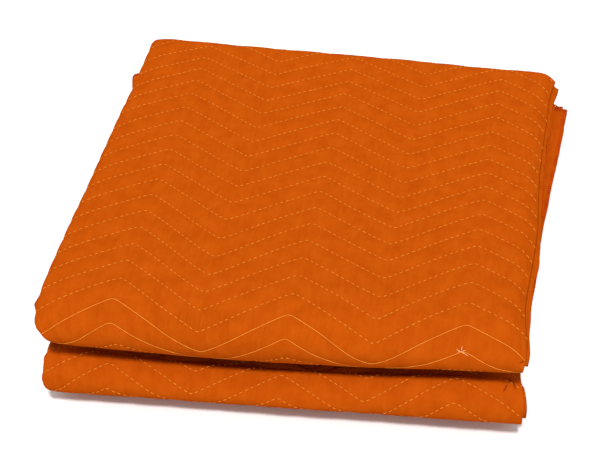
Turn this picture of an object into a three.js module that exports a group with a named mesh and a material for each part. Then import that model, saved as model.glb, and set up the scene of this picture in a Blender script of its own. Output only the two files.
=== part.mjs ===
// Two quilted moving blankets, folded and stacked with their round folds to the front.
// Millimetres, +Z up, the floor at z = 0, the front at -Y.
// Each blanket is one sheet. It is folded in half twice from side to side, and then in half twice
// from back to front, which makes sixteen plies.

import * as THREE from "three";

// The cloth
const CLOTH_WIDTH = 2032;
const CLOTH_LENGTH = 1829;
const CLOTH_THICKNESS = 3;
const PLY_PITCH = 4.1;
const PLIES_ACROSS = 4;
const PLIES = 16;
const BLANKET_HEIGHT = (PLIES - 1) * PLY_PITCH + CLOTH_THICKNESS;
const STACK_GAP = 0.3;

// The folded outline
const LEFT_FACE = -260;
const RIGHT_FACE = 243;
const BACK_FACE = 213;
const END_STAGGER = 12; // the bottom layer's cut end lies this much behind even, and the third layer's ahead
const SIDEWAYS_LEAN = 0.044; // x gained for each millimetre towards the back
const BACK_TILT = -0.046; // y gained at the back for each millimetre towards the right
const SIDE_PINCH = 0.16; // share of the height that the sides lose
const SIDE_PINCH_WIDTH = 34;

// The quilting: rows of zigzag stitching, one inch apart, with their peaks to the back
const ROW_PITCH = 25.4;
const ROW_DEPTH = 1.5;
const ZIGZAG_HALF_PERIOD = 91.4;
const ZIGZAG_HEIGHT = 2 * ROW_PITCH;
const ZIGZAG_PEAK_X = -2;
const STEPS_PER_ROW = 2;
const STEPS_PER_SIDE = 4;

// How far each place along the folded length lies past the plain outline:
// right and left move the folded sides out, edge is how far the cut edges reach past the right fold,
// and lag turns the layer, so that its right end lies further back and its left end further forward
const UPPER_LAY = [
  { place: "bottomEnd", right: 3, edge: 7, left: 2, lag: -3 },
  { place: "bottomFront", right: -6, edge: 3, left: -13, lag: 0 },
  { place: "topFront", right: -4, edge: 3, left: 3, lag: 0 },
  { place: "topBack", right: 2, edge: 3, left: -1, lag: 0 },
  { place: "secondBack", right: 2, edge: 4, left: 0, lag: 0 },
  { place: "secondFront", right: -4, edge: 3, left: 1, lag: 0 },
  { place: "thirdFront", right: -4, edge: 4, left: 1, lag: 0 },
  { place: "thirdEnd", right: 9, edge: 11, left: 21, lag: 7 },
];
const LOWER_LAY = [
  { place: "bottomEnd", right: -4, edge: 5, left: 2, lag: 5 },
  { place: "bottomFront", right: 3, edge: 1.5, left: -6, lag: 0 },
  { place: "topFront", right: 1, edge: 2, left: -1, lag: 0 },
  { place: "topBack", right: -3, edge: 4, left: 0, lag: 0 },
  { place: "secondBack", right: -2, edge: 5, left: 1, lag: 0 },
  { place: "secondFront", right: -3, edge: 2, left: 0, lag: 0 },
  { place: "thirdFront", right: -3, edge: 2, left: 0, lag: 0 },
  { place: "thirdEnd", right: 0, edge: 6, left: 4, lag: -6 },
];

// One row for each blanket: round is the length over which its front fold rounds off,
// firstRow the place along y of one row of peaks, and quiltedTo the y to which its rows are raised
const BLANKETS = [
  {
    name: "lower_blanket",
    base: 0,
    front: -278,
    frontTilt: 0.026,
    round: 47,
    firstRow: -256,
    quiltedTo: -120,
    lay: LOWER_LAY,
    colour: 0xc85408,
  },
  {
    name: "upper_blanket",
    base: BLANKET_HEIGHT + STACK_GAP,
    front: -264,
    frontTilt: 0.03,
    round: 60,
    firstRow: -252,
    quiltedTo: BACK_FACE,
    lay: UPPER_LAY,
    colour: 0xd05a08,
  },
];
const CLOTH_ROUGHNESS = 0.9;

// A straight run from one point of a plane to another
function run(from, to) {
  const length = Math.hypot(to[0] - from[0], to[1] - from[1]);
  const ahead = [(to[0] - from[0]) / length, (to[1] - from[1]) / length];
  const at = (d) => ({
    point: [from[0] + ahead[0] * d, from[1] + ahead[1] * d],
    normal: [-ahead[1], ahead[0]],
  });
  return { length, at };
}

// Half a circle about a centre, from one angle, with sweep 1 for anticlockwise and -1 for clockwise
function halfTurn(centre, radius, startAngle, sweep) {
  const at = (d) => {
    const angle = startAngle + (sweep * d) / radius;
    const out = [Math.cos(angle), Math.sin(angle)];
    return {
      point: [centre[0] + radius * out[0], centre[1] + radius * out[1]],
      normal: [-sweep * out[0], -sweep * out[1]],
    };
  };
  return { length: Math.PI * radius, at };
}

// The path of a strip folded in half twice, in a plane with the layers at -1.5, -0.5, 0.5 and 1.5 pitches.
// near is where the last fold turns, far where the first one does, and firstEnd and lastEnd are its cut ends.
function fourFold(pitch, near, far, firstEnd, lastEnd) {
  const up = Math.PI / 2;
  const pieces = [
    run([firstEnd, -1.5 * pitch], [near, -1.5 * pitch]),
    halfTurn([near, 0], 1.5 * pitch, -up, -1),
    run([near, 1.5 * pitch], [far, 1.5 * pitch]),
    halfTurn([far, pitch], 0.5 * pitch, up, -1),
    run([far, 0.5 * pitch], [near, 0.5 * pitch]),
    halfTurn([near, 0], 0.5 * pitch, up, 1),
    run([near, -0.5 * pitch], [lastEnd, -0.5 * pitch]),
  ];
  const starts = [0];
  pieces.forEach((piece) => starts.push(starts.at(-1) + piece.length));
  const at = (s) => {
    let i = pieces.length - 1;
    while (i > 0 && s < starts[i]) i -= 1;
    return pieces[i].at(s - starts[i]);
  };
  return { starts, at };
}

// A path whose four layers use up a given length of cloth, with its first end a stagger past even
function fourFoldOf(length, pitch, near, far, stagger) {
  const turns = Math.PI * 2.5 * pitch;
  const end = near + (length - turns - 2 * (far - near)) / 2;
  return fourFold(pitch, near, far, end + stagger, end - stagger);
}

function mix(a, b, share) {
  return a + (b - a) * share;
}

function smooth(value, from, to) {
  return THREE.MathUtils.smoothstep(value, from, to);
}

// Equal steps from one length to another, without the last
function steps(from, to, count) {
  return Array.from({ length: count }, (_, i) => mix(from, to, i / count));
}

// From side to side: the path, and the lengths along it at which the cloth has its corners
const HALF_BUNDLE = 1.5 * PLY_PITCH + CLOTH_THICKNESS / 2;
const ACROSS_NEAR = LEFT_FACE + HALF_BUNDLE;
const ACROSS_FAR = RIGHT_FACE - (PLY_PITCH + CLOTH_THICKNESS) / 2;
const ACROSS = fourFoldOf(CLOTH_WIDTH, PLY_PITCH, ACROSS_NEAR, ACROSS_FAR, 0);
const EDGE_REACH = ACROSS.at(0).point[0] - RIGHT_FACE;

function acrossStations() {
  const [a0, a1, a2, a3, a4, a5, a6, a7] = ACROSS.starts;
  const step = ZIGZAG_HALF_PERIOD / STEPS_PER_SIDE;
  const first = Math.ceil((ACROSS_NEAR + step / 3 - ZIGZAG_PEAK_X) / step);
  const last = Math.floor((ACROSS_FAR - step / 3 - ZIGZAG_PEAK_X) / step);
  const quilted = [];
  for (let i = first; i <= last; i += 1) {
    quilted.push(a2 + ZIGZAG_PEAK_X + i * step - ACROSS_NEAR);
  }
  const inset = SIDE_PINCH_WIDTH;
  return [
    a0, a0 + inset + EDGE_REACH, a1 - inset,
    ...steps(a1, a2, 4),
    a2, ...quilted,
    ...steps(a3, a4, 3),
    a4, a4 + inset, a5 - inset,
    ...steps(a5, a6, 2),
    a6, a6 + inset, a7 - inset - EDGE_REACH, a7,
  ];
}

// How far a row of stitching lies in front of its peaks, at x
function zigzag(x) {
  const periods = (x - ZIGZAG_PEAK_X) / (2 * ZIGZAG_HALF_PERIOD);
  return 2 * Math.abs(periods - Math.round(periods)) * ZIGZAG_HEIGHT;
}

// One folded blanket: its path from back to front and how its cloth lies
class FoldedBlanket {
  constructor(spec) {
    this.spec = spec;
    const bundle = PLIES_ACROSS * PLY_PITCH;
    this.halfHeight = BLANKET_HEIGHT / 2;
    this.middle = spec.base + this.halfHeight;
    this.near = spec.front + this.halfHeight;
    this.far = BACK_FACE - bundle / 2 - HALF_BUNDLE;
    this.path = fourFoldOf(CLOTH_LENGTH, bundle, this.near, this.far, END_STAGGER);
    this.places = this.path.starts.slice(0, 8);
    this.skin = this.measureSkin();
    this.along = this.alongStations();
  }

  // How the layers lie at a length b along the folded cloth
  layAt(b) {
    const { places } = this;
    let i = 0;
    while (i < places.length - 2 && b > places[i + 1]) i += 1;
    const share = smooth(b, places[i], places[i + 1]);
    const [from, to] = [this.spec.lay[i], this.spec.lay[i + 1]];
    return {
      right: mix(from.right, to.right, share),
      edge: mix(from.edge, to.edge, share),
      left: mix(from.left, to.left, share),
      lag: mix(from.lag, to.lag, share),
    };
  }

  // The share of the height that is left at y: the front rounds off over a longer stretch than a half circle
  frontShare(y) {
    const { round } = this.spec;
    const depth = Math.max(y - this.spec.front, 0);
    if (depth >= round) return 1;
    const oval = Math.sqrt(2 * round - depth) / round;
    if (depth >= this.halfHeight) return oval * Math.sqrt(depth);
    return (oval * this.halfHeight) / Math.sqrt(2 * this.halfHeight - depth);
  }

  sideShare(x) {
    const past = Math.max(x - RIGHT_FACE, LEFT_FACE - x) + SIDE_PINCH_WIDTH;
    const share = THREE.MathUtils.clamp(past / SIDE_PINCH_WIDTH, 0, 1);
    return 1 - SIDE_PINCH * share * share;
  }

  // The place of a point of the bundle of four plies: x across, w out of it, b along the folded length
  place(x, w, b) {
    const { point, normal } = this.path.at(b);
    const lay = this.layAt(b);
    const y = point[0] + normal[0] * w;
    const level = point[1] + normal[1] * w;
    const z = this.middle + level * this.frontShare(y) * this.sideShare(x);
    const reached = x > RIGHT_FACE ? RIGHT_FACE + ((x - RIGHT_FACE) * lay.edge) / EDGE_REACH : x;
    const shifted = reached + (x > 0 ? (lay.right * x) / RIGHT_FACE : (-lay.left * x) / LEFT_FACE);
    const backShare = (y - this.spec.front) / (BACK_FACE - this.spec.front);
    const tilt = mix(this.spec.frontTilt, BACK_TILT, backShare);
    const turned = y + tilt * shifted + (lay.lag * x) / RIGHT_FACE;
    return new THREE.Vector3(shifted + SIDEWAYS_LEAN * y, turned, z);
  }

  // Lengths along the path against lengths along the outer skin, a millimetre at a time
  measureSkin() {
    const table = [];
    let length = 0;
    let last = null;
    for (let b = 0; b <= this.places[3]; b += 1) {
      const here = this.place(0, HALF_BUNDLE, b);
      if (last) length += here.distanceTo(last);
      table.push({ b, length });
      last = here;
    }
    return table;
  }

  skinLength(b) {
    const i = Math.min(Math.floor(b), this.skin.length - 2);
    return mix(this.skin[i].length, this.skin[i + 1].length, b - i);
  }

  pathLength(skinLength) {
    const i = this.skin.findIndex((row, at) => at > 0 && row.length >= skinLength);
    const [from, to] = [this.skin[i - 1], this.skin[i]];
    return mix(from.b, to.b, (skinLength - from.length) / (to.length - from.length));
  }

  // The skin length of one row of peaks
  get rowZero() {
    const { firstRow, round, front } = this.spec;
    const roundStart = this.places[2] + round - this.halfHeight;
    return this.skinLength(roundStart) + firstRow - (front + round);
  }

  alongStations() {
    const [b0, b1, b2, b3, b4, b5, b6, b7] = this.places;
    const roundOff = this.spec.round - this.halfHeight;
    const step = ROW_PITCH / STEPS_PER_ROW;
    const quiltEnd = this.skinLength(Math.min(b2 + this.spec.quiltedTo - this.near, b3 - 3));
    const first = Math.ceil((this.skinLength(b1) + 2 - this.rowZero) / step);
    const last = Math.floor((quiltEnd - this.rowZero) / step);
    const quilted = [];
    for (let i = first; i <= last; i += 1) {
      quilted.push(this.pathLength(this.rowZero + i * step));
    }
    this.quiltStart = quilted[0];
    this.quiltStop = quilted.at(-1);
    const plain = this.quiltStop < b3 - 2 * ROW_PITCH ? steps(this.quiltStop, b3, 3).slice(1) : [];
    return [
      b0, mix(b0, b1, 0.5), b1 - roundOff, b1 - roundOff / 2, b1,
      ...quilted, ...plain,
      ...steps(b3, b4, 4),
      b4, b5 - roundOff, b5 - roundOff / 2,
      ...steps(b5, b6, 4),
      b6, b6 + roundOff / 2, b6 + roundOff, mix(b6, b7, 0.6), b7,
    ];
  }

  // How deep the stitching draws the outer face in, at a length a across and b along
  drawnIn(a, b) {
    const onSkin = a >= ACROSS.starts[2] && a <= ACROSS.starts[3];
    if (!onSkin || b < this.quiltStart || b > this.quiltStop) return 0;
    const rows = (this.skinLength(b) + zigzag(ACROSS.at(a).point[0]) - this.rowZero) / ROW_PITCH;
    return ROW_DEPTH * Math.abs(Math.cos(Math.PI * rows));
  }

  // A point of the cloth's face: side 1 is its outer face on top, -1 the other one
  facePoint(a, b, side) {
    const { point, normal } = ACROSS.at(a);
    const half = CLOTH_THICKNESS / 2 - (side > 0 ? this.drawnIn(a, b) : 0);
    return this.place(point[0] + normal[0] * side * half, point[1] + normal[1] * side * half, b);
  }

  // The closed sheet: two faces on one grid of stations, and a rim round them
  geometry() {
    const across = acrossStations();
    const { along } = this;
    const columns = across.length;
    const rows = along.length;
    const positions = [];
    [1, -1].forEach((side) => {
      along.forEach((b) => across.forEach((a) => positions.push(...this.facePoint(a, b, side).toArray())));
    });
    const outer = (i, j) => j * columns + i;
    const inner = (i, j) => rows * columns + j * columns + i;
    const indices = [];
    const quad = (p, q, r, s) => indices.push(p, q, r, p, r, s);
    for (let j = 0; j < rows - 1; j += 1) {
      for (let i = 0; i < columns - 1; i += 1) {
        const x = ACROSS.at((across[i] + across[i + 1]) / 2).point[0];
        const risingToRight = zigzag(x + 1) < zigzag(x - 1);
        if (risingToRight) {
          quad(outer(i, j), outer(i + 1, j), outer(i + 1, j + 1), outer(i, j + 1));
        } else {
          quad(outer(i + 1, j), outer(i + 1, j + 1), outer(i, j + 1), outer(i, j));
        }
        quad(inner(i, j), inner(i, j + 1), inner(i + 1, j + 1), inner(i + 1, j));
      }
    }
    for (let i = 0; i < columns - 1; i += 1) {
      quad(inner(i, 0), inner(i + 1, 0), outer(i + 1, 0), outer(i, 0));
      quad(outer(i, rows - 1), outer(i + 1, rows - 1), inner(i + 1, rows - 1), inner(i, rows - 1));
    }
    for (let j = 0; j < rows - 1; j += 1) {
      quad(outer(0, j), outer(0, j + 1), inner(0, j + 1), inner(0, j));
      const last = columns - 1;
      quad(inner(last, j), inner(last, j + 1), outer(last, j + 1), outer(last, j));
    }
    const geometry = new THREE.BufferGeometry();
    geometry.setAttribute("position", new THREE.Float32BufferAttribute(positions, 3));
    geometry.setIndex(indices);
    geometry.computeVertexNormals();
    return geometry;
  }

  mesh() {
    const material = new THREE.MeshStandardMaterial({
      color: this.spec.colour,
      roughness: CLOTH_ROUGHNESS,
      metalness: 0,
    });
    const mesh = new THREE.Mesh(this.geometry(), material);
    mesh.name = this.spec.name;
    return mesh;
  }
}

const stack = new THREE.Group();
BLANKETS.forEach((spec) => stack.add(new FoldedBlanket(spec).mesh()));

// The middle of the stack's floor area is the origin
const box = new THREE.Box3().setFromObject(stack);
stack.position.set(-(box.min.x + box.max.x) / 2, -(box.min.y + box.max.y) / 2, -box.min.z);

export default stack;
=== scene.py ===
"""Two folded quilted moving blankets, stacked with their round folds to the front.

Every length is in millimetres in the part's frame, with +Z up, the floor at z = 0 and the front at -Y, and is
turned into metres where a mesh is made. Each blanket is one sheet of cloth. It is folded in half twice from side
to side, and then in half twice from back to front. A point of the sheet is named by a, its length across the flat
cloth, b, its length along it, and its height over the middle of the cloth.
"""

import logging
import math
from dataclasses import dataclass, field
from enum import Enum

import bpy
import numpy as np
import numpy.typing as npt
from mathutils import Matrix


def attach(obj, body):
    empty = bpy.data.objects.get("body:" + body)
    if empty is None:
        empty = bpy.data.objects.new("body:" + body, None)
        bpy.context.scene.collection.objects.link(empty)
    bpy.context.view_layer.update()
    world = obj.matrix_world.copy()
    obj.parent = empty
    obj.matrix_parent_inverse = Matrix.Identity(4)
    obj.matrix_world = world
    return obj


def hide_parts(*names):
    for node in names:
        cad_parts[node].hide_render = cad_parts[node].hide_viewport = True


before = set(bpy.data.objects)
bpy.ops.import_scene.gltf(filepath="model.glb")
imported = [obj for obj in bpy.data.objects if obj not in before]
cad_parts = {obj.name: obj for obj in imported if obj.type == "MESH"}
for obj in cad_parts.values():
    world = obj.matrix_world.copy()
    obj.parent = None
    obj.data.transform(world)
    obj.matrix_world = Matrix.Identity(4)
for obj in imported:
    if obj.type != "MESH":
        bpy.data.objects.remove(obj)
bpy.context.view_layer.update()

LOG = logging.getLogger("blankets")
Floats = npt.NDArray[np.float64]
Indices = npt.NDArray[np.int64]
Pair = tuple[float, float]
Colour = tuple[float, float, float]
Socket = bpy.types.NodeSocket
METRES = 0.001

# The cloth and its folded outline
CLOTH_WIDTH = 2032.0
CLOTH_LENGTH = 1829.0
SOLID_THICKNESS = 3.0
FACE_HALF = 1.72
PLY_PITCH = 4.1
BUNDLE_PITCH = 4 * PLY_PITCH
BLANKET_HEIGHT = 15 * PLY_PITCH + SOLID_THICKNESS
STACK_GAP = 0.3
STACK_HEIGHT = 2 * BLANKET_HEIGHT + STACK_GAP
HALF_BUNDLE = 1.5 * PLY_PITCH + SOLID_THICKNESS / 2
LEFT_FACE = -260.0
RIGHT_FACE = 243.0
BACK_FACE = 213.0
END_STAGGER = 12.0
SIDEWAYS_LEAN = 0.044
BACK_TILT = -0.046
SIDE_PINCH = 0.16
SIDE_PINCH_WIDTH = 34.0
FRAME_SHIFT = np.array([1.037, 29.640, 0.0])

# The cloth along its cut edges, where the sewing presses it, and the samples of the outer skin's length
EDGE_PRESSED = 0.66
EDGE_PRESSED_WIDTH = 9.0
SKIN_STEP = 0.5
CORNER_STEEPEST = 0.995

# The sag of the faces where the two blankets meet, and where it fades behind the front
SAG = 11.0
SAG_MIDDLE = -45.0
SAG_REACH = 205.0
SAG_FADE = (-215.0, -120.0)
RIGHT_LIFT = 3.0

# How the ends of the layers differ from their runs: where the changes at the right side start, and how long
# the poking corner and the rounded one are
RIGHT_CHANGE = 150.0
SLOT_CHANGE = 110.0
CORNER_WIDTH = 45.0
EAR_LENGTH = 62.0
UNDERCUT_FADE = (20.0, 170.0)
SLOT_LEFT_END = (LEFT_FACE - 1, LEFT_FACE + 11)
SWAY_ROWS = (-11.0, -3.0)

# How far soft noise moves the edges, whole neighbourhoods, the top, the rows and the front's ridge, and where two
# of the noises are read
EDGE_WAVES = 1.3
SIDEWAYS_DRIFT = 0.9
ENDWAYS_DRIFT = 0.7
HOLLOW_DEPTH = 0.8
ROW_WANDER = 0.8
RIDGE_WANDER = 3.0
RIDGE_NOISE_ROW = 7.0
EDGE_NOISE_SHIFT = 40.0

# The band of fine puckers, and of the shade painted in their hollows, as skin length and reach, its strongest part
# as x and reach, and its least strength
GATHER_BAND = (-17.0, 13.0)
GATHER_PEAK = (-85.0, 75.0)
GATHER_LEAST = 0.3

# Right, edge, left and lag of each place along the folded length: the two ends of the bottom layer, of the
# front fold, of the top layer and so on. Right and left move the folded sides out, edge is how far the cut
# edges reach past the right fold, and lag turns the layer
UPPER_LAY = np.array(
    [[3, 7, 2, -3], [-6, 0.8, -17, 0], [-1, 0.6, 7, 0], [1, 0.6, 4, 0]]
    + [[1, 0.6, 4, 0], [-12, 0.6, 6, 0], [-15, 3, 6, 0], [9, 10.5, 3, 7]]
)
LOWER_LAY = np.array(
    [[-7, 5, 2, 5], [-4, 0.6, -3, 0], [-3, 0.6, 2, 0], [-5, 4, 0, 0]]
    + [[-5, 5, 1, 0], [-13, 2, 0, 0], [-13, 2, 0, 0], [0, 6, 4, -6]]
)

# Stations of the stitched rows, as shares of the way from one row to the next
CLOSE_STATIONS = np.array([0, 0.05, 0.13, 0.27, 0.5, 0.73, 0.87, 0.95])
EVEN_STATIONS = np.arange(8) / 8
HALF_STATIONS = np.array([0, 0.14, 0.5, 0.86])
WIDE_STATIONS = np.array([0, 0.5])
EDGE_STATIONS = np.array([0, 1.2, 2.6, 4.2, 6.2, 9.0, 14.0, 23.0])
PINCH_STATIONS = np.array([5.0, 12.0, 20.0, 27.0, 36.0])

# A loop of thread round a cut edge: how far in from the edge, and the height in half thicknesses of the cloth
HALF_LOOP = np.array([[5.4, 0.9], [3.6, 1.18], [1.4, 1.2], [-0.35, 0.8], [-0.6, 0]])
LOOP = np.concatenate([HALF_LOOP, HALF_LOOP[-2::-1] * [1, -1]])


def smooth(value: Floats, low: float, high: float) -> Floats:
    """Returns 0 below low and 1 above high, with 3t^2 - 2t^3 between them."""
    t = np.clip((value - low) / (high - low), 0, 1)
    return t * t * (3 - 2 * t)


def bell(value: Floats, middle: Floats | float, reach: float) -> Floats:
    """Returns exp(-t^2), with t the distance from the middle in reaches."""
    return np.exp(-(((value - middle) / reach) ** 2))


def mix(low: Floats | float, high: Floats | float, share: Floats | float) -> Floats:
    """Returns low + (high - low) * share."""
    return low + (high - low) * share


@dataclass(frozen=True)
class SoftNoise:
    """Smooth seeded noise of two coordinates, between -1 and 1.

    A lattice of random numbers is read with smoothstep weights between its four nearest points.
    """

    seed: int
    cell_u: float
    cell_v: float
    size: int = 64

    def at(self, u: Floats, v: Floats) -> Floats:
        """Reads the noise.

        Args:
            u: first coordinate in millimetres.
            v: second coordinate in millimetres.

        Returns:
            The noise, in the shape of u and v.
        """
        lattice = np.random.default_rng(self.seed).uniform(-1, 1, (self.size, self.size))
        p, q = np.broadcast_arrays(u / self.cell_u, v / self.cell_v)
        i, j = np.floor(p).astype(int), np.floor(q).astype(int)
        s, t = smooth(p - i, 0, 1), smooth(q - j, 0, 1)
        i0, j0, i1, j1 = i % self.size, j % self.size, (i + 1) % self.size, (j + 1) % self.size
        near = mix(lattice[i0, j0], lattice[i1, j0], s)
        return mix(near, mix(lattice[i0, j1], lattice[i1, j1], s), t)


@dataclass(frozen=True)
class FoldPath:
    """The path of a strip folded in half twice, with its layers at -1.5, -0.5, 0.5 and 1.5 pitches.

    It runs along the lowest layer, round the outer fold, along the top layer, round the small fold at the far
    side, back along the second layer, round the inner fold and along the third layer.
    """

    pitch: float
    near: float
    far: float
    first_end: float
    last_end: float

    @classmethod
    def of_length(cls, length: float, pitch: float, near: float, far: float, stagger: float) -> "FoldPath":
        """Makes the path of a length, whose first end lies a stagger past even and its last a stagger before."""
        end = near + (length - math.pi * 2.5 * pitch - 2 * (far - near)) / 2
        return cls(pitch, near, far, end + stagger, end - stagger)

    @property
    def starts(self) -> Floats:
        """The lengths at which the seven pieces of the path start, and its whole length."""
        half_turn = math.pi * self.pitch
        run = self.far - self.near
        lengths = [self.first_end - self.near, 1.5 * half_turn, run, 0.5 * half_turn, run]
        lengths += [0.5 * half_turn, self.last_end - self.near]
        return np.concatenate([[0.0], np.cumsum(lengths)])

    def at(self, s: Floats) -> tuple[Floats, Floats, Floats, Floats]:
        """Follows the path: u = u0 + d * way on a run, and centre + radius * (cos, sin) of the turned angle.

        Args:
            s: lengths along the path.

        Returns:
            The two coordinates of each point, and those of the path's left-hand normal there.
        """
        s = np.asarray(s, float)
        p = self.pitch
        piece = np.clip(np.searchsorted(self.starts, s, side="right") - 1, 0, 6)
        d = s - self.starts[piece]
        straight = np.array([1, 0, 1, 0, 1, 0, 1])[piece] == 1
        way = np.array([-1.0, 0, 1, 0, -1, 0, 1])[piece]
        u0 = np.array([self.first_end, self.near, self.near, self.far, self.far, self.near, self.near])[piece]
        v0 = np.array([-1.5, 0, 1.5, 1, 0.5, 0, -0.5])[piece] * p
        radius = np.array([1, 1.5, 1, 0.5, 1, 0.5, 1])[piece] * p
        sweep = np.array([0, -1.0, 0, -1, 0, 1, 0])[piece]
        angle = np.array([0, -0.5, 0, 0.5, 0, 0.5, 0])[piece] * math.pi + sweep * d / radius
        cos, sin = np.cos(angle), np.sin(angle)
        u = np.where(straight, u0 + way * d, u0 + radius * cos)
        v = np.where(straight, v0, v0 + radius * sin)
        return u, v, np.where(straight, 0, -sweep * cos), np.where(straight, way, -sweep * sin)


ACROSS_NEAR = LEFT_FACE + HALF_BUNDLE
ACROSS_FAR = RIGHT_FACE - (PLY_PITCH + SOLID_THICKNESS) / 2
ACROSS = FoldPath.of_length(CLOTH_WIDTH, PLY_PITCH, ACROSS_NEAR, ACROSS_FAR, 0)
EDGE_REACH = float(ACROSS.first_end) - RIGHT_FACE


def top_x(a: Floats) -> Floats:
    """Turns lengths across the flat cloth into places across the top ply."""
    return a - ACROSS.starts[2] + ACROSS_NEAR


@dataclass(frozen=True)
class Quilting:
    """Rows of zigzag stitching, one inch apart on the cloth, with their peaks to the back."""

    row_pitch: float = 25.4
    half_period: float = 91.4
    height: float = 50.8
    peak_x: float = -2.0
    corner: float = 2.6
    trough: float = 0.95
    crown: float = 0.12
    puff: float = 2.6

    def zigzag(self, a: Floats) -> Floats:
        """How far a row lies in front of its peaks: a triangle wave of a, with eased corners.

        Args:
            a: lengths across the cloth.

        Returns:
            Millimetres, from 0 at a peak to the height at a valley.
        """
        periods = (top_x(a) - self.peak_x) / (2 * self.half_period)
        off = np.abs(periods - np.round(periods))
        soft = self.corner / (2 * self.half_period)
        scale = 0.25 / (math.hypot(0.25, soft) - soft)
        peak = (np.hypot(off, soft) - soft) * scale
        valley = 0.5 - (np.hypot(0.5 - off, soft) - soft) * scale
        return 2 * self.height * np.where(off < 0.25, peak, valley)


QUILTING = Quilting()


@dataclass(frozen=True)
class Pull:
    """A neighbourhood whose rows lie further forward than even, as where the cloth was drawn while it was sewn."""

    x: float
    row: float
    reach: float
    rows: float
    shift: float

    def at(self, x: Floats, row: Floats) -> Floats:
        """The shift times a bell of x and of the row: exp(-(u^2 + v^2) / 2), with u and v in reaches."""
        u, v = (x - self.x) / self.reach, (row - self.row) / self.rows
        return self.shift * np.exp(-(u * u + v * v) / 2)


def meeting_sag(x: Floats, y: Floats) -> Floats:
    """How far the faces where the two blankets meet sag near the front, between the front's ends.

    It is the sag times 1 - t^2, with t the distance from the middle over the reach, less a lift at the right
    end, times a smooth fall with y.

    Args:
        x: place across the bundle.
        y: place behind the front.

    Returns:
        Millimetres.
    """
    t = (x - SAG_MIDDLE) / SAG_REACH
    sag = SAG * np.maximum(1 - t * t, 0) - RIGHT_LIFT * smooth(x, RIGHT_CHANGE, RIGHT_FACE)
    return sag * (1 - smooth(y, *SAG_FADE))


@dataclass(frozen=True)
class Crease:
    """A soft trough in the outer face, over the cloth from start to stop, both measured along its skin."""

    x: float
    start: float
    stop: float
    depth: float
    width: float
    lean: float = 0.0

    def depth_at(self, x: Floats, length: Floats) -> Floats:
        """The trough: a bell across it times a smooth rise and fall along it.

        Args:
            x: place across the top ply.
            length: skin length behind the start of the top layer.

        Returns:
            The depth, nowhere negative if the crease's own depth isn't.
        """
        middle = (self.start + self.stop) / 2
        half = (self.stop - self.start) / 2
        across = (x - self.x - self.lean * (length - middle)) / self.width
        along = 1 - smooth(np.abs(length - middle), 0.25 * half, half)
        return self.depth * np.exp(-across * across) * along


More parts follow.
